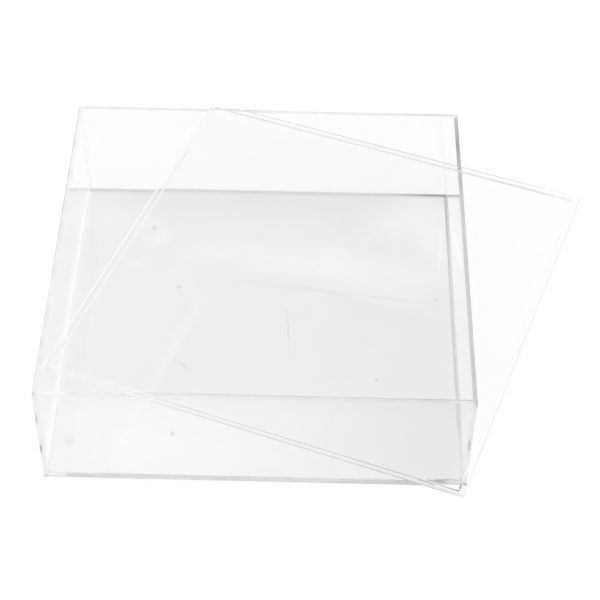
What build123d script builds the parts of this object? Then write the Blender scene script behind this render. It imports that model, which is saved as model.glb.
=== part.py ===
from build123d import *
import os

# A square storage box of clear acrylic sheet with a stepped lift-off lid. Sizes are in
# millimetres, with +Z up. The origin is the centre of the box's underside, X runs across the
# front from left to right, and Y runs from the front to the back. Five flat sheets are cemented
# into an open box: the base, a front and a back of full width that stand on it, and two sides
# between them. The lid is two sheets cemented face to face. The lower one is smaller, so that it
# drops between the walls when the lid is on. Here the lid lies turned and shifted on the rim.

# Outside of the box
box_width = 200.0
box_depth = 200.0
box_height = 60.0

# Sheets of the box
base_thickness = 2.0
wall_thickness = 2.0

# Sheets of the lid, and how freely the lower one drops between the walls
lid_top_thickness = 1.2
locating_thickness = 1.2
locating_clearance = 0.6

# Worked edges: the sharp edge taken off outside corners, and the lid's corners rounded in plan
edge_chamfer = 0.2
lid_edge_chamfer = 0.4
lid_corner_radius = 0.6
locating_corner_radius = 1.0

# Cement squeezed out along the inside corners: the leg of its triangular section, and how far
# below the rim its upright runs stop
bead_leg = 1.0
bead_below_rim = 0.8

# Where the lid lies on the rim: its centre from the box's centre, and its turn about the vertical
lid_shift_x = 30.8
lid_shift_y = -25.0
lid_turn_degrees = -19.8

# Worked out from the sizes above
wall_height = box_height - base_thickness
wall_middle_z = base_thickness + wall_height / 2
inner_width = box_width - 2 * wall_thickness
inner_depth = box_depth - 2 * wall_thickness
locating_width = inner_width - 2 * locating_clearance
locating_depth = inner_depth - 2 * locating_clearance
lid_top_lower_z = box_height + locating_thickness


def base_panel():
    """The bottom sheet, with its lower outside edges and its corners eased."""
    sheet = Pos(0, 0, base_thickness / 2) * Box(box_width, box_depth, base_thickness)
    lower_edges = sheet.faces().sort_by(Axis.Z)[0].edges()
    corner_edges = sheet.edges().filter_by(Axis.Z)
    return chamfer(lower_edges + corner_edges, edge_chamfer)


def long_panel(outward):
    """The front sheet (outward -1) or the back sheet (outward 1), as wide as the box."""
    middle_y = outward * (box_depth - wall_thickness) / 2
    sheet = Pos(0, middle_y, wall_middle_z) * Box(box_width, wall_thickness, wall_height)
    outer_face = sheet.faces().sort_by(Axis.Y, reverse=outward > 0)[0]
    outer_uprights = outer_face.edges().filter_by(Axis.Z)
    outer_rim = outer_face.edges().sort_by(Axis.Z)[-1:]
    end_rims = sheet.faces().sort_by(Axis.Z)[-1].edges().filter_by(Axis.Y)
    return chamfer(outer_uprights + outer_rim + end_rims, edge_chamfer)


def side_panel(outward):
    """The left sheet (outward -1) or the right sheet (outward 1), held between front and back."""
    middle_x = outward * (box_width - wall_thickness) / 2
    sheet = Pos(middle_x, 0, wall_middle_z) * Box(wall_thickness, inner_depth, wall_height)
    outer_face = sheet.faces().sort_by(Axis.X, reverse=outward > 0)[0]
    outer_rim = outer_face.edges().sort_by(Axis.Z)[-1:]
    return chamfer(outer_rim, edge_chamfer)


def floor_bead():
    """The ring of cement where the walls meet the base, of triangular section."""
    ring = Pos(0, 0, base_thickness + bead_leg / 2) * Box(inner_width, inner_depth, bead_leg)
    lower_outline = Rectangle(inner_width - 2 * bead_leg, inner_depth - 2 * bead_leg)
    upper_outline = Rectangle(inner_width, inner_depth)
    hollow = loft([
        Pos(0, 0, base_thickness) * lower_outline,
        Pos(0, 0, base_thickness + bead_leg) * upper_outline,
    ])
    return ring - hollow


def corner_beads(floor_ring):
    """The four upright runs of cement where the walls meet, cut to sit on the ring below them."""
    section = make_face(Polyline((0, 0), (bead_leg, 0), (0, bead_leg), (0, 0)))
    run = extrude(section, wall_height - bead_below_rim)
    beads = []
    for quarter, (x_side, y_side) in enumerate([(-1, -1), (1, -1), (1, 1), (-1, 1)]):
        corner = Pos(x_side * inner_width / 2, y_side * inner_depth / 2, base_thickness)
        bead = corner * Rot(0, 0, 90 * quarter) * run - floor_ring
        beads.append(bead.solid())
    return Compound(children=beads)


def lid_sheet(width, depth, thickness, corner_radius, lower_z, eased_face):
    """One sheet of the lid at its place on the rim, with the edges of its outward face eased."""
    sheet = extrude(RectangleRounded(width, depth, corner_radius), thickness)
    outward_edges = sheet.faces().sort_by(Axis.Z)[eased_face].edges()
    place = Pos(lid_shift_x, lid_shift_y, lower_z) * Rot(0, 0, lid_turn_degrees)
    return place * chamfer(outward_edges, lid_edge_chamfer)


def lid_locating_plate():
    """The smaller, lower sheet of the lid, lying on the box's rim."""
    return lid_sheet(
        locating_width, locating_depth, locating_thickness, locating_corner_radius,
        lower_z=box_height, eased_face=0,
    )


def lid_top_plate():
    """The upper sheet of the lid, of the box's own outline, cemented on the locating plate."""
    return lid_sheet(
        box_width, box_depth, lid_top_thickness, lid_corner_radius,
        lower_z=lid_top_lower_z, eased_face=-1,
    )


def write_parts():
    """Writes each sub-part to its own file."""
    os.makedirs("parts", exist_ok=True)
    floor_ring = floor_bead()
    parts = {
        "base_panel": base_panel(),
        "front_panel": long_panel(-1),
        "back_panel": long_panel(1),
        "left_panel": side_panel(-1),
        "right_panel": side_panel(1),
        "floor_cement_bead": floor_ring,
        "corner_cement_beads": corner_beads(floor_ring),
        "lid_locating_plate": lid_locating_plate(),
        "lid_top_plate": lid_top_plate(),
    }
    for node, shape in parts.items():
        export_step(shape, f"parts/{node}.step")


write_parts()
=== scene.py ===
import math

import bmesh
import bpy
from mathutils import Matrix, Vector


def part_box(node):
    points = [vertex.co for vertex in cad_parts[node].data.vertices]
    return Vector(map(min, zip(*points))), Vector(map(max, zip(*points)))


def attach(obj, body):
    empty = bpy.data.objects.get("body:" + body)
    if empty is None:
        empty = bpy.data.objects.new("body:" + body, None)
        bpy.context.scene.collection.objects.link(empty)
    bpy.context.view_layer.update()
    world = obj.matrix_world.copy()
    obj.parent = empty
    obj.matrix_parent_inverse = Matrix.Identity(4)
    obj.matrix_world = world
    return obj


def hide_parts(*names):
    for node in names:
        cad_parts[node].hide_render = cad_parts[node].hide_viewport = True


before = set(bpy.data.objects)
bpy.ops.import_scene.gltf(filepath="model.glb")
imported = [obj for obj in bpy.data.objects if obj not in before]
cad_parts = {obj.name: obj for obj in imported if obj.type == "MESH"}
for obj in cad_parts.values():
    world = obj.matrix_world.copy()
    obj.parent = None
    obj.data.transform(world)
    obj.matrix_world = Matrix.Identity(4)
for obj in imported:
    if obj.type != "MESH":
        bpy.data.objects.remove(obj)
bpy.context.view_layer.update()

# The base is a square of clear cast acrylic sheet, cut from 2 mm stock and eased along its lower
# edges. The four walls stand on its rim in a thin bed of cement. Its upper face has hair scratches
# and specks, painted pools of light, painted lines of light and shadow, and painted shade.
mm = 0.001
base_low, base_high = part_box("base_panel")
front_low, front_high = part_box("front_panel")
wall_thickness = front_high.y - front_low.y
inside_x = base_high.x - wall_thickness
inside_y = base_high.y - wall_thickness
bead_low, bead_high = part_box("floor_cement_bead")
bead_leg = bead_high.z - bead_low.z
cement_film = 0.02 * mm
arris = 0.2 * mm
arris_segments = 2
near = 0.001 * mm

acrylic_index = 1.49
# The base's tint is darker than the walls': partly the sheet's own tint, partly painted shade of the table
# under the box
base_tint_and_shade = (0.954, 0.954, 0.970)
base_surface_loss = 0.05

X, Y, Z = range(3)
ALONG_X, ALONG_Y = (1.0, 0.0, 0.0), (0.0, 1.0, 0.0)


def link(owner, source, target):
    """Joins two sockets in the nodes of a material or of the world."""
    owner.node_tree.links.new(source, target)


def object_point(material):
    return material.node_tree.nodes.new("ShaderNodeTexCoord").outputs["Object"]


def ranged(owner, value, given, wanted, is_smooth=False):
    """The value taken from the range that it is given in to the range that is wanted."""
    node = owner.node_tree.nodes.new("ShaderNodeMapRange")
    if is_smooth:
        node.interpolation_type = "SMOOTHSTEP"
    for name, number in zip(("From Min", "From Max", "To Min", "To Max"), (*given, *wanted)):
        node.inputs[name].default_value = number
    link(owner, value, node.inputs["Value"])
    return node.outputs["Result"]


def worked_out(owner, operation, one, other):
    """One sum on two values, each a socket or a number."""
    node = owner.node_tree.nodes.new("ShaderNodeMath")
    node.operation = operation
    for socket, value in zip(node.inputs, (one, other)):
        if isinstance(value, float):
            socket.default_value = value
        else:
            link(owner, value, socket)
    return node.outputs["Value"]


noise_spread = (0.35, 0.65)


def cloud(material, waves, detail, low, high):
    """Soft noise over the piece, waves to the metre, from low to high."""
    noise = material.node_tree.nodes.new("ShaderNodeTexNoise")
    noise.inputs["Scale"].default_value = waves
    noise.inputs["Detail"].default_value = detail
    link(material, object_point(material), noise.inputs["Vector"])
    return ranged(material, noise.outputs["Fac"], noise_spread, (low, high))


def tone_along(material, direction, stops):
    """Light and dark along a direction: each stop is a place in millimetres and the tone there."""
    nodes = material.node_tree.nodes
    reach = nodes.new("ShaderNodeVectorMath")
    reach.operation = "DOT_PRODUCT"
    reach.inputs[1].default_value = direction
    link(material, object_point(material), reach.inputs[0])
    first, last = stops[0][0], stops[-1][0]
    share = ranged(material, reach.outputs["Value"], (first * mm, last * mm), (0.0, 1.0))
    ramp = nodes.new("ShaderNodeValToRGB")
    elements = ramp.color_ramp.elements
    for place, _ in stops[1:-1]:
        elements.new((place - first) / (last - first))
    for element, (_, tone) in zip(elements, stops):
        element.color = (tone, tone, tone, 1.0)
    link(material, share, ramp.inputs["Fac"])
    return ramp.outputs["Color"]


mark_waver = (30.0, 2.0, -0.18, 0.18)
mark_reach = 1.15


def mark(material, middle, turn, half, tone):
    """The tone at the middle of an uneven oval mark, and 1 outside it. Sizes are in millimetres."""
    nodes = material.node_tree.nodes
    placed = nodes.new("ShaderNodeMapping")
    placed.vector_type = "TEXTURE"
    placed.inputs["Location"].default_value = [part * mm for part in middle]
    placed.inputs["Rotation"].default_value = (0.0, 0.0, math.radians(turn))
    placed.inputs["Scale"].default_value = [part * mm for part in half]
    link(material, object_point(material), placed.inputs["Vector"])
    radius = nodes.new("ShaderNodeVectorMath")
    radius.operation = "LENGTH"
    link(material, placed.outputs["Vector"], radius.inputs[0])
    uneven = worked_out(material, "ADD", radius.outputs["Value"], cloud(material, *mark_waver))
    return ranged(material, uneven, (mark_reach, 0.0), (1.0, tone), is_smooth=True)


def coloured(material, tint, *tones):
    """The tint times every tone."""
    colour = None
    for tone in tones:
        scaled = material.node_tree.nodes.new("ShaderNodeVectorMath")
        scaled.operation = "SCALE"
        if colour is None:
            scaled.inputs[0].default_value = tint
        else:
            link(material, colour, scaled.inputs[0])
        link(material, tone, scaled.inputs["Scale"])
        colour = scaled.outputs["Vector"]
    return colour


def lamp_light_through(material, surface, lost):
    """Lets lamplight and the floor's light pass a sheet unbent, less a share lost on entering."""
    nodes = material.node_tree.nodes
    face = nodes.new("ShaderNodeNewGeometry")
    kept = worked_out(material, "MAXIMUM", 1.0 - lost, face.outputs["Backfacing"])
    film = nodes.new("ShaderNodeBsdfTransparent")
    link(material, kept, film.inputs["Color"])
    path = nodes.new("ShaderNodeLightPath")
    unbent = worked_out(material, "MAXIMUM", path.outputs["Is Shadow Ray"], path.outputs["Is Diffuse Ray"])
    choice = nodes.new("ShaderNodeMixShader")
    link(material, unbent, choice.inputs["Fac"])
    link(material, surface, choice.inputs[1])
    link(material, film.outputs["BSDF"], choice.inputs[2])
    return choice.outputs["Shader"]


def new_material(name):
    """An empty material, its Principled shader and its output."""
    material = bpy.data.materials.new(name)
    material.use_nodes = True
    nodes = material.node_tree.nodes
    shader = nodes["Principled BSDF"]
    shader.inputs["IOR"].default_value = acrylic_index
    return material, shader, nodes["Material Output"]


def toned(material, tint, marks, fades, patches):
    """The tint with its marks, its light and dark along the run, and its cloudy patches."""
    tones = [mark(material, *placing) for placing in marks]
    tones += [tone_along(material, direction, stops) for direction, stops in fades]
    return coloured(material, tint, *tones, cloud(material, *patches))


# Each of the next three is a cloud: its waves to the metre, its detail, its least and its most
cast_haze = (25.0, 2.0, 0.994, 1.0)
handled_roughness = (35.0, 3.0, 0.0, 0.004)
cast_waves = (18.0, 1.0, 0.0, 1.0)
cast_wave_strength = 0.02
cast_wave_depth = 0.05 * mm


def polished_face(name, tint, lost, marks=(), fades=()):
    """The broad face of a cast sheet: all but flat, with a breath of handling on it."""
    material, shader, output = new_material(name)
    shader.inputs["Transmission Weight"].default_value = 1.0
    link(material, toned(material, tint, marks, fades, cast_haze), shader.inputs["Base Color"])
    link(material, cloud(material, *handled_roughness), shader.inputs["Roughness"])
    bump = material.node_tree.nodes.new("ShaderNodeBump")
    bump.inputs["Strength"].default_value = cast_wave_strength
    bump.inputs["Distance"].default_value = cast_wave_depth
    link(material, cloud(material, *cast_waves), bump.inputs["Height"])
    link(material, bump.outputs["Normal"], shader.inputs["Normal"])
    link(material, lamp_light_through(material, shader.outputs["BSDF"], lost), output.inputs["Surface"])
    return material


worked_roughness = 0.1
worked_waves, worked_detail = 160.0, 3.0


def worked_edge(name, fades, clearness=0.3, patchy=0.04, tint=(0.99, 0.99, 0.996), lost=0.06, marks=()):
    """A sawn or eased edge or a rim: part clear and part matt, with painted light and shade along its run.
    """
    material, shader, output = new_material(name)
    shader.inputs["Transmission Weight"].default_value = clearness
    shader.inputs["Roughness"].default_value = worked_roughness
    patches = (worked_waves, worked_detail, 1.0 - 2 * patchy, 1.0)
    link(material, toned(material, tint, marks, fades, patches), shader.inputs["Base Color"])
    link(material, lamp_light_through(material, shader.outputs["BSDF"], lost), output.inputs["Surface"])
    return material


def cemented_joint():
    """A cemented face: light goes straight on."""
    material, shader, output = new_material("acrylic_cemented_joint")
    material.node_tree.nodes.remove(shader)
    wet = material.node_tree.nodes.new("ShaderNodeBsdfTransparent")
    link(material, wet.outputs["BSDF"], output.inputs["Surface"])
    return material


# Painted light and shade along the base's edges: white near each end, dark along the middle and dark at the
# corners
painted_edge_tones = (
    (-100, 0.75), (-99, 0.85), (-98, 1.0), (-90, 1.0), (-89, 0.80), (-69, 0.80), (-45, 0.88),
    (-17, 0.82), (21, 0.86), (59, 0.75), (83, 0.74), (89, 0.74), (91, 0.97), (98, 0.97),
    (99, 0.5), (100, 0.45),
)
# Each mark on the floor has its middle, its turn in degrees, its half sizes and its tone
# Painted pools of light: patches where the base is painted lighter
painted_light_patches = (
    ((12.0, 46.0), -5, (58, 17), 1.065),
    ((88.0, 86.0), 20, (48, 36), 1.115),
    ((-92.0, 84.0), -30, (44, 24), 1.045),
    ((72.0, 40.0), 6, (58, 30), 1.06),
    ((-57.0, 59.0), 40, (12, 6), 1.05),
    ((-67.0, 41.0), 30, (9, 5), 1.04),
    ((-50.0, -84.0), 0, (60, 30), 1.04),
)
# The first is a painted line of light cast by the lid's left edge, the second a painted line of light
# beside the right wall, the third the lid's back edge's painted shadow; the last two are hair scratches
scratches_and_painted_lines = (
    ((-44.9, -18.4), 71, (85, 4.0), 1.035),
    ((93.5, 57.0), 84.4, (24, 0.9), 1.07),
    ((35.6, 22.8), -6.9, (85, 1.6), 0.955),
    ((13.5, -6.4), -87, (18, 0.6), 0.90),
    ((-38.4, -30.5), -44, (7, 0.7), 0.82),
)
specks = (
    ((-60.8, 68.0), 0, (1.4, 1.1), 0.72),
    ((-44.4, 24.2), 0, (1.8, 1.5), 0.77),
    ((58.0, -36.9), 0, (1.3, 1.1), 0.78),
    ((89.8, 19.4), 0, (1.3, 1.1), 0.83),
    ((-40.9, -72.2), 0, (1.5, 1.3), 0.55),
    ((-90.0, -79.0), 0, (4.4, 6.0), 0.91),
)
floor_level = base_high.z / mm
through_sheet = 99.0
floor_marks = [
    ((*middle, floor_level), turn, (*half, through_sheet), tone)
    for middle, turn, half, tone in (*painted_light_patches, *scratches_and_painted_lines, *specks)
]
# Painted shade on the base: lighter along the front, darker towards the back wall and darkest at its foot,
# and a little darker to the right
painted_floor_shade = (
    (ALONG_Y, ((-100, 1.0), (-60, 1.0), (-46, 0.94), (70, 0.93), (85, 0.895), (95.8, 0.87), (97, 0.78))),
    (ALONG_X, ((-100, 1.0), (20, 1.0), (60, 0.985), (100, 0.98))),
)
base_face = polished_face("acrylic_base_face", base_tint_and_shade, base_surface_loss, floor_marks, painted_floor_shade)
base_edge = worked_edge(
    "acrylic_base_edge", [(ALONG_X, painted_edge_tones)], clearness=0.4, patchy=0.06, tint=(0.97, 0.975, 1.0),
)
base_arris = worked_edge("acrylic_base_arris", [(ALONG_X, painted_edge_tones)], patchy=0.06)
joint_face = cemented_joint()
# SHADED is a rim's band of painted shade
POLISHED, SAWN, CEMENTED, ARRIS, SHADED, RIM, BED, SEAM = range(8)
mostly = 0.5
sharp = math.radians(45)
round_profile = 0.5


def finish_sheet(name, form, node, body, materials):
    """Turns the built form into a piece that stands for its CAD node and rides on its body."""
    mesh = bpy.data.meshes.new(name)
    form.to_mesh(mesh)
    form.free()
    for material in materials:
        mesh.materials.append(material)
    piece = bpy.data.objects.new(name, mesh)
    bpy.context.scene.collection.objects.link(piece)
    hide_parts(node)
    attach(piece, body)


def sheet_form(low, high, thin, cuts, kind_of_face, is_eased):
    """A flat sheet, its faces cut along the edges of what is cemented to it, its arrises eased."""
    form = bmesh.new()
    steps = [sorted({low[axis], high[axis], *cuts.get(axis, ())}) for axis in (X, Y, Z)]
    for axis in (X, Y, Z):
        second, third = (axis + 1) % 3, (axis + 2) % 3
        for level in (low[axis], high[axis]):
            for left, right in zip(steps[second], steps[second][1:]):
                for bottom, top in zip(steps[third], steps[third][1:]):
                    corners = []
                    for across, up in ((left, bottom), (right, bottom), (right, top), (left, top)):
                        point = [0.0, 0.0, 0.0]
                        point[axis], point[second], point[third] = level, across, up
                        corners.append(form.verts.new(point))
                    form.faces.new(corners)
    bmesh.ops.remove_doubles(form, verts=form.verts, dist=near)
    bmesh.ops.recalc_face_normals(form, faces=form.faces)
    for face in form.faces:
        usual = POLISHED if abs(face.normal[thin]) > mostly else SAWN
        kind = kind_of_face(face.calc_center_median(), face.normal)
        face.material_index = usual if kind is None else kind
    eased = [
        edge for edge in form.edges
        if edge.calc_face_angle(0.0) > sharp and is_eased((edge.verts[0].co + edge.verts[1].co) / 2)
    ]
    bmesh.ops.bevel(
        form, geom=eased, offset=arris, segments=arris_segments, profile=round_profile,
        affect="EDGES", clamp_overlap=True, material=ARRIS,
    )
    return form


def beside(value, target):
    return abs(value - target) < near


foot_cuts = {
    X: (-inside_x, -inside_x + bead_leg, inside_x - bead_leg, inside_x),
    Y: (-inside_y, -inside_y + bead_leg, inside_y - bead_leg, inside_y),
}


def kind_on_base(at, facing):
    under_wall_or_bead = abs(at.x) > inside_x - bead_leg or abs(at.y) > inside_y - bead_leg
    return CEMENTED if facing.z > mostly and under_wall_or_bead else None


def base_edge_is_eased(at):
    return beside(at.z, base_low.z) or (
        beside(abs(at.x), base_high.x) and beside(abs(at.y), base_high.y)
    )


base_form = sheet_form(base_low, base_high, Z, foot_cuts, kind_on_base, base_edge_is_eased)
finish_sheet(
    "base_sheet", base_form, "base_panel", "box", [base_face, base_edge, joint_face, base_arris],
)

# The front and the back are strips of the same sheet as wide as the box. They stand on the base
# and lap the ends of the two sides, so that their own sawn ends show at the box's corners. Part of
# each rim's width is a band of painted shade, and band and rest are painted lighter and darker
# along the run: painted light and shade.
wall_foot = base_high.z + cement_film
rim_air_gap = 0.04 * mm
# Each rim's band of painted shade runs from and to these distances from the outer face
front_shaded_band = (1.4 * mm, 2.1 * mm)
back_shaded_band = (-0.1 * mm, 1.2 * mm)
clear_tint = (0.990, 0.991, 0.993)
# The back sheet's tint is darker than the front's, though both are one sheet: painted shade
back_tint_and_shade = (0.965, 0.966, 0.968)
face_surface_loss = 0.03
cement_tint = (0.98, 0.982, 0.995)
cement_patches = (120.0, 3.0, 0.93, 1.0)
cement_roughness = 0.6
cement_surface_loss = 0.02
bed_milkiness = 0.75


def set_cement(name, fades, milkiness, marks=()):
    """Cement set between two sheets, a little milky, with any painted light and shade along its run and any
    voids as marks.
    """
    material, shader, output = new_material(name)
    shader.inputs["IOR"].default_value = 1.0
    shader.inputs["Roughness"].default_value = cement_roughness
    shader.inputs["Alpha"].default_value = milkiness
    colour = toned(material, cement_tint, marks, fades, cement_patches)
    link(material, colour, shader.inputs["Base Color"])
    surface = lamp_light_through(material, shader.outputs["BSDF"], cement_surface_loss)
    link(material, surface, output.inputs["Surface"])
    return material


# The front face is painted darker towards the right: painted shade
front_face = polished_face("acrylic_front_face", clear_tint, face_surface_loss, fades=[(ALONG_X, (
    (-100, 0.985), (-60, 1.0), (-20, 0.99), (20, 0.965), (50, 0.94), (85, 0.91), (93, 0.915),
    (98, 0.935), (100, 0.935),
))])
back_face = polished_face("acrylic_back_face", back_tint_and_shade, face_surface_loss)
seam_voids = (
    ((-100.0, -98.6, 42.0), 0, (1.2, 2.0, 6.5), 0.25),
    ((-100.0, -98.6, 20.0), 0, (1.2, 2.0, 4.5), 0.20),
    ((98.8, -98.0, 29.0), 0, (0.8, 2.0, 7.0), 0.40),
    ((99.8, -99.6, 57.6), 0, (2.2, 2.2, 3.0), 0.30),
    ((-99.8, -99.6, 58.2), 0, (1.8, 1.8, 2.4), 0.50),
)
# The sawn ends and the arrises are painted lighter or darker from left to right: painted light and shade.
# Their marks are the seam voids
sawn_end = worked_edge(
    "acrylic_sawn_end", [(ALONG_X, ((-100, 0.95), (100, 0.92)))], clearness=0.4, marks=seam_voids,
)
wall_arris = worked_edge("acrylic_wall_arris", [(ALONG_X, ((-100, 0.85), (100, 0.92)))], marks=seam_voids)
# Painted light and shade along the front and back rims: their bands and the rest of each rim
front_rim_shade = worked_edge("acrylic_front_rim_shade", [(ALONG_X, (
    (-100, 0.85), (-98, 1.0), (-65, 0.98), (-50, 0.86), (-35, 0.72), (-17, 0.66), (21, 0.70),
    (59, 0.70), (83, 0.53), (100, 0.50),
))])
front_rim = worked_edge("acrylic_front_rim", [(ALONG_X, (
    (-100, 0.65), (-98.8, 0.70), (-98, 1.0), (-60, 1.0), (-40, 0.95), (98, 0.90),
    (99, 0.50), (100, 0.45),
))])
back_rim_shade = worked_edge("acrylic_back_rim_shade", [(ALONG_X, (
    (-100, 0.84), (-55, 0.80), (-28, 0.84), (-22, 0.70), (-8, 0.70), (0, 0.88), (60, 0.88), (84, 0.72),
    (100, 0.70),
))])
back_rim = worked_edge("acrylic_back_rim", [(ALONG_X, ((-100, 0.96), (100, 0.95)))])
# The beds are painted light at the front's ends and dark along its middle, dark towards the back right, and
# a little darker to the right under the sides: painted light and shade
front_bed = set_cement("acrylic_front_bed", [(ALONG_X, (
    (-100, 1.0), (-90, 1.0), (-89, 0.69), (-45, 0.71), (-17, 0.675), (21, 0.77), (59, 0.65), (83, 0.44),
    (89, 0.44), (91, 0.95), (100, 0.95),
))], bed_milkiness)
back_bed = set_cement("acrylic_back_bed", [(ALONG_X, (
    (-100, 0.98), (60, 0.96), (80, 0.85), (88, 0.70), (91, 0.93), (100, 0.95),
))], bed_milkiness)


def wall_sheet(name, node, low, high, thin, cuts, shaded_band, materials, kind_of_face, is_eased):
    """A wall. Its rim's band of painted shade begins and ends at two distances from its outer face."""
    outer_level = high[thin] if high[thin] > 0 else low[thin]
    inward = -1 if outer_level > 0 else 1
    lines = [outer_level + inward * depth for depth in shaded_band if 0 < depth < wall_thickness]
    form = sheet_form(low, high, thin, {**cuts, thin: lines}, kind_of_face, is_eased)
    shade_from, shade_to = shaded_band
    for face in form.faces:
        at = face.calc_center_median()
        if at.z > high.z - arris and face.material_index in (SAWN, ARRIS):
            is_shaded = shade_from < abs(at[thin] - outer_level) < shade_to
            face.material_index = SHADED if is_shaded else RIM
    finish_sheet(name, form, node, "box", materials)


long_cuts = {X: (-inside_x, inside_x), Z: (wall_foot + bead_leg,)}


def long_sheet(name, node, outward, shaded_band, materials):
    """The front (outward -1) or the back (outward 1)."""
    low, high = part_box(node)
    low.z = wall_foot
    high.z -= rim_air_gap
    inner_y = low.y if outward > 0 else high.y

    def kind_of_face(at, facing):
        if facing.z < -mostly:
            return BED
        if beside(at.y, inner_y) and (abs(at.x) > inside_x or at.z < wall_foot + bead_leg):
            return CEMENTED
        return None

    def is_eased(at):
        outer_upright = beside(abs(at.x), high.x) and not beside(at.y, inner_y)
        return beside(at.z, high.z) or (outer_upright and at.z > wall_foot + near)

    wall_sheet(name, node, low, high, Y, long_cuts, shaded_band, materials, kind_of_face, is_eased)


long_sheet(
    "front_sheet", "front_panel", -1, front_shaded_band,
    [front_face, sawn_end, joint_face, wall_arris, front_rim_shade, front_rim, front_bed],
)
long_sheet(
    "back_sheet", "back_panel", 1, back_shaded_band,
    [back_face, sawn_end, joint_face, wall_arris, back_rim_shade, back_rim, back_bed],
)

# The left and right sides are shorter strips, cemented between the front and the back. The left
# one's rim has its band of painted shade over its outer arris only, and the right one's over its
# full width. The cement has left voids in the seams with the front.
left_shaded_band = (-0.1 * mm, 0.5 * mm)
right_shaded_band = (-0.1 * mm, 2.1 * mm)
# The left sheet's tint is darker than the right's, and lighter again towards the back: painted shade
left_tint_and_shade = (0.982, 0.983, 0.986)
seam_milkiness = 0.7
left_face = polished_face("acrylic_left_face", left_tint_and_shade, face_surface_loss, fades=[(ALONG_Y, (
    (-98, 0.985), (30, 0.985), (60, 1.0), (98, 1.0),
))])
right_face = polished_face("acrylic_right_face", clear_tint, face_surface_loss)
side_bed = set_cement("acrylic_side_bed", [(ALONG_X, ((-100, 0.98), (100, 0.96)))], bed_milkiness)
side_seam = set_cement("acrylic_side_seam", [], seam_milkiness, seam_voids)
side_cuts = {Z: (wall_foot + bead_leg,)}
# Painted light and shade along the side rims: their bands and the rest of each rim
left_rim_shade = worked_edge("acrylic_left_rim_shade", [(ALONG_Y, (
    (-100, 0.80), (-60, 0.80), (-20, 0.86), (0, 0.76), (30, 0.68), (60, 0.74), (90, 0.72), (100, 0.70),
))], patchy=0.1)
side_rim = worked_edge("acrylic_side_rim", [(ALONG_Y, ((-98, 0.93), (35, 0.94), (60, 0.98), (98, 0.99)))])
right_rim_shade = worked_edge("acrylic_right_rim_shade", [(ALONG_Y, (
    (-100, 0.60), (-55, 0.64), (-22, 0.62), (12, 0.64), (45, 0.52), (60, 0.48), (75, 0.37), (98, 0.55),
))])


def side_sheet(name, node, outward, shaded_band, materials):
    """The left side (outward -1) or the right side (outward 1)."""
    low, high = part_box(node)
    low.y += cement_film
    high.y -= cement_film
    low.z = wall_foot
    high.z -= rim_air_gap
    inner_x = low.x if outward > 0 else high.x

    def kind_of_face(at, facing):
        if facing.z < -mostly:
            return BED
        if abs(facing.y) > mostly:
            return SEAM
        if beside(at.x, inner_x) and at.z < wall_foot + bead_leg:
            return CEMENTED
        return None

    def is_eased(at):
        return beside(at.z, high.z) and abs(at.y) < high.y - near

    wall_sheet(name, node, low, high, X, side_cuts, shaded_band, materials, kind_of_face, is_eased)


side_sheet(
    "left_sheet", "left_panel", -1, left_shaded_band,
    [left_face, sawn_end, joint_face, wall_arris, left_rim_shade, side_rim, side_bed, side_seam],
)
side_sheet(
    "right_sheet", "right_panel", 1, right_shaded_band,
    [right_face, sawn_end, joint_face, wall_arris, right_rim_shade, side_rim, side_bed, side_seam],
)

# Solvent cement squeezed out along the inside corners has set as hollow fillets: a ring of four
# mitred runs where the walls meet the base, and four upright runs where the walls meet each other.
# One run of each kind is drawn, and the same nodes turn it about the box's middle to the others.
upright_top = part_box("corner_cement_beads")[1].z
bead_steps = 5
bead_hollow = 0.12 * bead_leg
upright_milkiness = 0.09
quarter_turn = math.pi / 2
# The ring is painted white along the left and front runs, dark along the right run and in a line along the
# back run, darkest at the back right and lighter at the right run's front: painted light and shade
ring_cement = worked_edge("acrylic_cement_ring", [
    (ALONG_X, ((-98, 1.02), (-96.6, 1.02), (-95, 1.0), (82, 0.98), (90, 0.63), (96.5, 0.63), (98, 0.58))),
    (ALONG_Y, ((-98, 0.92), (-95, 1.0), (95.5, 1.0), (96.9, 0.72), (97.4, 0.74), (97.8, 0.98), (98, 0.98))),
], marks=[
    ((98.0, -90.0, 3.0), 0, (6.0, 45.0, through_sheet), 1.4),
    ((97.5, 92.0, 3.0), 0, (4.0, 40.0, through_sheet), 0.72),
    ((84.0, 97.5, 3.0), 0, (22.0, 3.0, through_sheet), 0.70),
], clearness=0.15, patchy=0.01)
upright_cement = set_cement("acrylic_cement_upright", [
    (ALONG_X, ((-98, 1.0), (98, 0.98))), (ALONG_Y, ((-98, 0.85), (-95, 0.85), (-90, 1.0), (98, 1.0))),
], upright_milkiness)


def fillet_section():
    """Inset from the walls and height above the foot, from the wall's face down to the toe."""
    for step in range(bead_steps + 1):
        share = step / bead_steps
        bow = bead_hollow * (1 - (2 * share - 1) ** 2)
        yield bead_leg * share - bow, bead_leg * (1 - share) - bow


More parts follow.
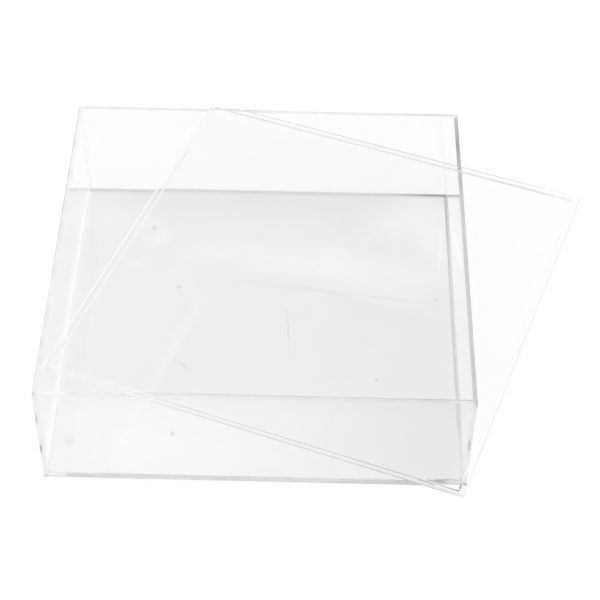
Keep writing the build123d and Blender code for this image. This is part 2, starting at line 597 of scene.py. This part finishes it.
def four_runs_tree():
    """Nodes that turn one run of cement to the four corners or sides, and give it its cement."""
    tree = bpy.data.node_groups.new("four_runs", "GeometryNodeTree")
    for name, kind in (
        ("Run", "NodeSocketGeometry"), ("Runs", "NodeSocketInt"), ("Turn", "NodeSocketFloat"),
        ("Cement", "NodeSocketMaterial"), ("Joint", "NodeSocketMaterial"),
    ):
        tree.interface.new_socket(name, in_out="INPUT", socket_type=kind)
    tree.interface.new_socket("Beads", in_out="OUTPUT", socket_type="NodeSocketGeometry")
    given = tree.nodes.new("NodeGroupInput")
    single = tree.nodes.new("GeometryNodeGeometryToInstance")
    copies = tree.nodes.new("GeometryNodeDuplicateElements")
    copies.domain = "INSTANCE"
    turned_by = tree.nodes.new("ShaderNodeMath")
    turned_by.operation = "MULTIPLY"
    about_upright = tree.nodes.new("ShaderNodeCombineXYZ")
    turned = tree.nodes.new("GeometryNodeRotateInstances")
    real = tree.nodes.new("GeometryNodeRealizeInstances")
    joined = tree.nodes.new("GeometryNodeMergeByDistance")
    joined.inputs["Distance"].default_value = near
    all_cement = tree.nodes.new("GeometryNodeSetMaterial")
    backed = tree.nodes.new("GeometryNodeInputNamedAttribute")
    backed.data_type = "BOOLEAN"
    backed.inputs["Name"].default_value = "against_sheet"
    at_sheets = tree.nodes.new("GeometryNodeSetMaterial")
    made = tree.nodes.new("NodeGroupOutput")
    for source, target in (
        (given.outputs["Run"], single.inputs["Geometry"]),
        (single.outputs["Instances"], copies.inputs["Geometry"]),
        (given.outputs["Runs"], copies.inputs["Amount"]),
        (copies.outputs["Duplicate Index"], turned_by.inputs[0]),
        (given.outputs["Turn"], turned_by.inputs[1]),
        (turned_by.outputs["Value"], about_upright.inputs["Z"]),
        (copies.outputs["Geometry"], turned.inputs["Instances"]),
        (about_upright.outputs["Vector"], turned.inputs["Rotation"]),
        (turned.outputs["Instances"], real.inputs["Geometry"]),
        (real.outputs["Geometry"], joined.inputs["Geometry"]),
        (joined.outputs["Geometry"], all_cement.inputs["Geometry"]),
        (given.outputs["Cement"], all_cement.inputs["Material"]),
        (all_cement.outputs["Geometry"], at_sheets.inputs["Geometry"]),
        (backed.outputs["Attribute"], at_sheets.inputs["Selection"]),
        (given.outputs["Joint"], at_sheets.inputs["Material"]),
        (at_sheets.outputs["Geometry"], made.inputs["Beads"]),
    ):
        tree.links.new(source, target)
    return tree


four_runs = four_runs_tree()


def run_mesh(name, outlines, is_capped):
    """A run of cement between outlines of its section. The first two sides lie against sheets."""
    mesh = bpy.data.meshes.new(name)
    form = bmesh.new()
    rings = [[form.verts.new(point) for point in outline] for outline in outlines]
    start, end = rings
    count = len(start)
    against = []
    for index in range(count):
        following = (index + 1) % count
        form.faces.new((start[index], start[following], end[following], end[index]))
        against.append(index in (0, count - 1))
    if is_capped:
        for ring in rings:
            form.faces.new(ring)
            against.append(False)
    bmesh.ops.recalc_face_normals(form, faces=form.faces)
    form.to_mesh(mesh)
    form.free()
    mesh.attributes.new("against_sheet", "BOOLEAN", "FACE").data.foreach_set("value", against)
    return mesh


def turned_to_four(name, mesh, cement, node):
    """Makes the four turned runs a plain mesh that stands for its CAD node."""
    piece = bpy.data.objects.new(name, mesh)
    bpy.context.scene.collection.objects.link(piece)
    modifier = piece.modifiers.new("four_runs", "NODES")
    modifier.node_group = four_runs
    chosen = {"Runs": 4, "Turn": quarter_turn, "Cement": cement, "Joint": joint_face}
    for item in four_runs.interface.items_tree:
        if item.in_out == "INPUT" and item.name in chosen:
            modifier[item.identifier] = chosen[item.name]
    evaluated = piece.evaluated_get(bpy.context.evaluated_depsgraph_get())
    made = bpy.data.meshes.new_from_object(evaluated)
    made.name = name
    piece.modifiers.remove(modifier)
    piece.data = made
    bpy.data.meshes.remove(mesh)
    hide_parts(node)
    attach(piece, "box")


reach = inside_x - cement_film
ring_foot = base_high.z + cement_film
corner_and_fillet = [(0.0, 0.0), *fillet_section()]
front_run = run_mesh("front_run", [
    [(side * (reach - inset), inset - reach, ring_foot + rise) for inset, rise in corner_and_fillet]
    for side in (-1, 1)
], is_capped=False)
turned_to_four("floor_cement", front_run, ring_cement, "floor_cement_bead")

upright_foot = ring_foot + bead_leg + cement_film
corner_run = run_mesh("corner_run", [
    [(inset - reach, along - reach, level) for inset, along in corner_and_fillet]
    for level in (upright_foot, upright_top)
], is_capped=True)
turned_to_four("corner_cement", corner_run, upright_cement, "corner_cement_beads")

# The lid is two thin sheets cemented face to face. The lower one is a little smaller than the
# inside of the box, and here it lies askew on the rim, with the upper one's edge standing proud.
# Their edges were flamed to a soft round, and cement has run over the lower one's on the left.
lid_turn = math.radians(-19.8)
locating_clearance = 0.6 * mm
upper_corner_radius = 0.6 * mm
lower_corner_radius = 1.0 * mm
arris_width = 0.85 * mm
arris_depth = 0.45 * mm
arris_steps = ((1.0, 0.0), (0.5, 0.13), (0.13, 0.5), (0.0, 1.0))
corner_segments = 5
near_clearness, far_clearness = 0.05, 0.1
lid_edge_loss = 0.2
lid_tint = (0.982, 0.982, 0.984)
lid_half = base_high.x - near
locating_half = inside_x - locating_clearance
locating_low, locating_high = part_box("lid_locating_plate")
locating_centre = (locating_low + locating_high) / 2
along_lid = (math.cos(lid_turn), math.sin(lid_turn), 0.0)
across_lid = (-math.sin(lid_turn), math.cos(lid_turn), 0.0)
to_front_corner = Matrix.Rotation(lid_turn, 3, "Z") @ Vector((locating_half, -locating_half, 0.0))
front_corner = (locating_centre + to_front_corner) / mm
lid_face = polished_face("acrylic_lid_face", lid_tint, face_surface_loss)


def lid_tones(direction, tones):
    """The tones along a direction of the lid, each place reckoned from the lid's middle."""
    middle = (locating_centre.x * direction[X] + locating_centre.y * direction[Y]) / mm
    return direction, [(middle + place, tone) for place, tone in tones]


def lid_edge(name, clearness, tones, across=(), patchy=0.02, **finish):
    """A flamed edge, with its painted light and shade from left to right along the lid, and maybe across
    it.
    """
    fades = [lid_tones(along_lid, tones)]
    if across:
        fades.append(lid_tones(across_lid, across))
    return worked_edge(name, fades, clearness, patchy, lost=lid_edge_loss, **finish)


# The lid's edges are painted white towards the left and darker towards the right, and dark at the lower
# sheet's front corner: painted reflections and painted shade
near_upper_edge = lid_edge("acrylic_lid_upper_near_edge", near_clearness, (
    (-100, 1.0), (-50, 1.0), (-38, 0.86), (-20, 0.78), (30, 0.73), (60, 0.66), (80, 0.62), (96, 0.78),
    (100, 0.95),
), across=((-100, 1.0), (30, 1.0), (42, 0.94), (100, 0.92)))
near_lower_edge = lid_edge("acrylic_lid_lower_near_edge", near_clearness, (
    (-100, 1.0), (-50, 1.0), (-38, 0.80), (-20, 0.73), (30, 0.67), (60, 0.56), (80, 0.57), (96, 0.77),
    (100, 0.95),
), patchy=0.004, tint=(0.998, 0.998, 1.0), marks=[(front_corner, 0, (9.0, 9.0, 9.0), 0.2)])
front_arris = lid_edge("acrylic_lid_front_arris", near_clearness, (
    (-100, 1.0), (-50, 1.0), (-40, 0.98), (40, 0.96), (65, 0.90), (90, 0.88), (100, 0.95),
))
far_upper_edge = lid_edge("acrylic_lid_upper_far_edge", far_clearness, (
    (-100, 1.0), (-88, 1.0), (-80, 0.72), (-55, 0.70), (-30, 0.56), (20, 0.53), (50, 0.56), (70, 0.60),
    (85, 0.85), (97, 1.0), (100, 1.0),
))
far_lower_edge = lid_edge("acrylic_lid_lower_far_edge", far_clearness, (
    (-100, 0.86), (-60, 0.92), (-20, 0.93), (30, 0.91), (50, 0.86), (75, 0.82), (88, 0.95), (100, 1.0),
), marks=[(front_corner, 0, (8.0, 8.0, 8.0), 0.12)])
RIGHT, BACK, LEFT, FRONT = range(4)
NEAR_EDGE, FAR_EDGE, FRONT_ARRIS = SAWN, ARRIS, SHADED
sawn_band = len(arris_steps) - 1
cleared_band = 2


def kind_on_lid(band, side, is_lower):
    """The bands run over the arris and down the sawn edge, and then under the part standing proud."""
    if band > sawn_band:
        return POLISHED
    if is_lower and side == LEFT and band >= cleared_band:
        return CEMENTED
    if side in (RIGHT, BACK):
        return FAR_EDGE
    return FRONT_ARRIS if side == FRONT and band < sawn_band else NEAR_EDGE


def rounded_square(half, radius):
    """The corners of a square outline, each an arc."""
    points = []
    for quarter in range(4):
        turn = quarter * quarter_turn
        centre = Matrix.Rotation(turn, 2) @ Vector((half - radius, half - radius))
        for step in range(corner_segments + 1):
            angle = turn + step * quarter_turn / corner_segments
            points.append(centre + radius * Vector((math.cos(angle), math.sin(angle))))
    return points


def lid_sheet(name, node, half, radius, proud, eased_side, edges):
    """One sheet of the lid. Its face towards the other sheet is cemented up to proud from its edge."""
    low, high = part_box(node)
    centre = (low + high) / 2
    eased_z, cemented_z = (high.z, low.z) if eased_side > 0 else (low.z, high.z)
    if eased_side > 0:
        cemented_z += cement_film
    levels = [
        (half - inset * arris_width, eased_z - eased_side * depth * arris_depth)
        for inset, depth in arris_steps
    ]
    levels.append((half, cemented_z))
    if proud > 0:
        levels.append((half - proud, cemented_z))
    form = bmesh.new()
    rings = []
    for reach_out, level in levels:
        rings.append([
            form.verts.new((*(Matrix.Rotation(lid_turn, 2) @ corner + centre.xy), level))
            for corner in rounded_square(reach_out, radius)
        ])
    count = len(rings[0])
    points_per_side = count // 4
    for band, (one, two) in enumerate(zip(rings, rings[1:])):
        for index in range(count):
            following = (index + 1) % count
            face = form.faces.new((one[index], one[following], two[following], two[index]))
            face.material_index = kind_on_lid(band, following // points_per_side, eased_side < 0)
    form.faces.new(rings[0]).material_index = POLISHED
    form.faces.new(rings[-1]).material_index = CEMENTED
    bmesh.ops.recalc_face_normals(form, faces=form.faces)
    near_edge, far_edge = edges
    finish_sheet(name, form, node, "lid", [lid_face, near_edge, joint_face, far_edge, front_arris])


lid_sheet(
    "lid_lower_sheet", "lid_locating_plate", locating_half, lower_corner_radius, 0.0, -1,
    (near_lower_edge, far_lower_edge),
)
lid_sheet(
    "lid_upper_sheet", "lid_top_plate", lid_half, upper_corner_radius, lid_half - locating_half, 1,
    (near_upper_edge, far_upper_edge),
)

# The table is a plain white board. Light that leaves the feet of the two sides brightens a line
# beside each, and the left one's line has a dimmer one outside it.
table_albedo = 0.8
table_glow = 0.23
table_half = 20.0
table_gap = 0.05 * mm
left_foot_light = 0.20
right_foot_light = 0.13
left_dimness = 0.06

table_form = bmesh.new()
bmesh.ops.create_grid(table_form, x_segments=1, y_segments=1, size=table_half)
for vertex in table_form.verts:
    vertex.co.z = base_low.z - table_gap
table_mesh = bpy.data.meshes.new("table")
table_form.to_mesh(table_mesh)
table_form.free()
table = bpy.data.objects.new("table", table_mesh)
bpy.context.scene.collection.objects.link(table)

table_material = bpy.data.materials.new("table_white")
table_material.use_nodes = True
table_nodes = table_material.node_tree.nodes
table_nodes.remove(table_nodes["Principled BSDF"])


def line_beside_wall(level, across, along):
    """A line of light or shade on the table, by its tones across it and along it."""
    across_line = tone_along(table_material, ALONG_X, across)
    along_line = tone_along(table_material, ALONG_Y, along)
    shape = worked_out(table_material, "MULTIPLY", across_line, along_line)
    return worked_out(table_material, "MULTIPLY", shape, level)


matt = table_nodes.new("ShaderNodeBsdfDiffuse")
matt.inputs["Color"].default_value = (table_albedo, table_albedo, table_albedo, 1.0)
glow = table_nodes.new("ShaderNodeEmission")
path = table_nodes.new("ShaderNodeLightPath")
seen = path.outputs["Is Camera Ray"]
for seen_through_acrylic in ("Is Glossy Ray", "Is Transmission Ray"):
    seen = worked_out(table_material, "MAXIMUM", seen, path.outputs[seen_through_acrylic])
left_line = line_beside_wall(
    left_foot_light,
    ((-103.5, 0.0), (-102.4, 1.0), (-101.3, 1.0), (-100.0, 0.0)),
    ((-103, 0.0), (-97, 1.0), (97, 1.0), (103, 0.0)),
)
right_line = line_beside_wall(
    right_foot_light,
    ((98.5, 0.0), (100.5, 1.0), (105.0, 1.0), (107.0, 0.0)),
    ((-100, 0.8), (-50, 0.6), (50, 1.0), (97, 1.0), (103, 0.0)),
)
dim_line = line_beside_wall(
    left_dimness,
    ((-112.0, 0.0), (-109.0, 1.0), (-104.5, 1.0), (-103.5, 0.0)),
    ((-90, 0.0), (-60, 0.7), (50, 0.8), (70, 1.0), (86, 0.0)),
)
foot_light = worked_out(table_material, "ADD", left_line, right_line)
foot_lines = worked_out(table_material, "SUBTRACT", foot_light, dim_line)
glow_level = worked_out(table_material, "ADD", foot_lines, table_glow)
lift = worked_out(table_material, "MULTIPLY", seen, glow_level)
both = table_nodes.new("ShaderNodeAddShader")
link(table_material, lift, glow.inputs["Strength"])
link(table_material, matt.outputs["BSDF"], both.inputs[0])
link(table_material, glow.outputs["Emission"], both.inputs[1])
link(table_material, both.outputs["Shader"], table_nodes["Material Output"].inputs["Surface"])
table_mesh.materials.append(table_material)

# The light is soft and white: pale walls that are brighter than the ceiling and brightest to the
# left, and one lamp behind the box that draws the faint shadows of the lid's edges. What shows in
# the acrylic is paler to the left than to the right, and behind the box all is white.
wall_level, ceiling_level = 1.36, 0.47
wall_ends, ceiling_begins = 0.3, 0.75
left_share, right_share = 1.15, 0.85
shares_change_within = 0.6
bright_side, dim_side = 1.0, 0.86
bright_until, dim_from = -0.10, 0.09
lamp_level = 0.28
lamp_elevation = math.radians(48)
lamp_azimuth = math.radians(2)
lamp_spread = math.radians(3)

world = bpy.data.worlds.new("studio")
bpy.context.scene.world = world
world.use_nodes = True
world.cycles.sampling_method = "NONE"
room_nodes = world.node_tree.nodes
backdrop = room_nodes["Background"]
direction = room_nodes.new("ShaderNodeTexCoord")
parts = room_nodes.new("ShaderNodeSeparateXYZ")
link(world, direction.outputs["Generated"], parts.inputs["Vector"])
rightward, upward = parts.outputs["X"], parts.outputs["Z"]
shown = ranged(world, rightward, (bright_until, dim_from), (bright_side, dim_side), is_smooth=True)
by_height = ranged(
    world, upward, (wall_ends, ceiling_begins), (wall_level, ceiling_level), is_smooth=True,
)
by_side = ranged(
    world, rightward, (-shares_change_within, shares_change_within), (left_share, right_share),
    is_smooth=True,
)
light_level = worked_out(world, "MULTIPLY", by_height, by_side)
room_path = room_nodes.new("ShaderNodeLightPath")
for_diffuse = room_nodes.new("ShaderNodeMix")
for_diffuse.data_type = "FLOAT"
link(world, room_path.outputs["Is Diffuse Ray"], for_diffuse.inputs["Factor"])
link(world, shown, for_diffuse.inputs["A"])
link(world, light_level, for_diffuse.inputs["B"])
for_camera = room_nodes.new("ShaderNodeMix")
for_camera.data_type = "FLOAT"
link(world, room_path.outputs["Is Camera Ray"], for_camera.inputs["Factor"])
link(world, for_diffuse.outputs["Result"], for_camera.inputs["A"])
for_camera.inputs["B"].default_value = 1.0
link(world, for_camera.outputs["Result"], backdrop.inputs["Strength"])
backdrop.inputs["Color"].default_value = (1.0, 1.0, 1.0, 1.0)

lamp_data = bpy.data.lights.new("key_lamp", "SUN")
lamp_data.energy = lamp_level * math.pi / math.sin(lamp_elevation)
lamp_data.angle = lamp_spread
lamp = bpy.data.objects.new("key_lamp", lamp_data)
towards_lamp = Vector((
    math.sin(lamp_azimuth) * math.cos(lamp_elevation),
    math.cos(lamp_azimuth) * math.cos(lamp_elevation),
    math.sin(lamp_elevation),
))
lamp.rotation_mode = "QUATERNION"
lamp.rotation_quaternion = towards_lamp.to_track_quat("Z", "Y")
lamp.visible_glossy = False
lamp.visible_transmission = False
bpy.context.scene.collection.objects.link(lamp)

# The camera stands in front of the box, a little right of its middle, and looks down on it through
# a long lens, leaning a degree to one side.
camera_elevation = math.radians(46.486)
camera_azimuth = math.radians(0.175)
camera_roll = math.radians(1.191)
camera_distance = 0.8903
camera_aim = Vector((0.01905, 0.01917, 0.0))
camera_lens = 102.44
camera_film_width = 36.0
seen_from, seen_to = 0.01, 200.0

camera_data = bpy.data.cameras.new("camera")
camera_data.lens = camera_lens
camera_data.sensor_width = camera_film_width
camera_data.clip_start = seen_from
camera_data.clip_end = seen_to
camera = bpy.data.objects.new("camera", camera_data)
bpy.context.scene.collection.objects.link(camera)
bpy.context.scene.camera = camera
backwards = Vector((
    math.sin(camera_azimuth) * math.cos(camera_elevation),
    -math.cos(camera_azimuth) * math.cos(camera_elevation),
    math.sin(camera_elevation),
))
level_right = Vector((math.cos(camera_azimuth), math.sin(camera_azimuth), 0.0))
level_up = backwards.cross(level_right)
right = level_right * math.cos(camera_roll) + level_up * math.sin(camera_roll)
up = backwards.cross(right)
camera.matrix_world = Matrix.Translation(camera_aim + backwards * camera_distance) @ Matrix((
    (right.x, up.x, backwards.x, 0.0),
    (right.y, up.y, backwards.y, 0.0),
    (right.z, up.z, backwards.z, 0.0),
    (0.0, 0.0, 0.0, 1.0),
))

# Light goes to and fro many times between the faces of a sheet before it leaves at an edge, and
# passes many cemented faces on its way.
sheet_bounces = 128
joint_passes = 512
scene = bpy.context.scene
scene.view_settings.view_transform = "Standard"
scene.cycles.max_bounces = sheet_bounces
scene.cycles.glossy_bounces = sheet_bounces
scene.cycles.transmission_bounces = sheet_bounces
scene.cycles.transparent_max_bounces = joint_passes
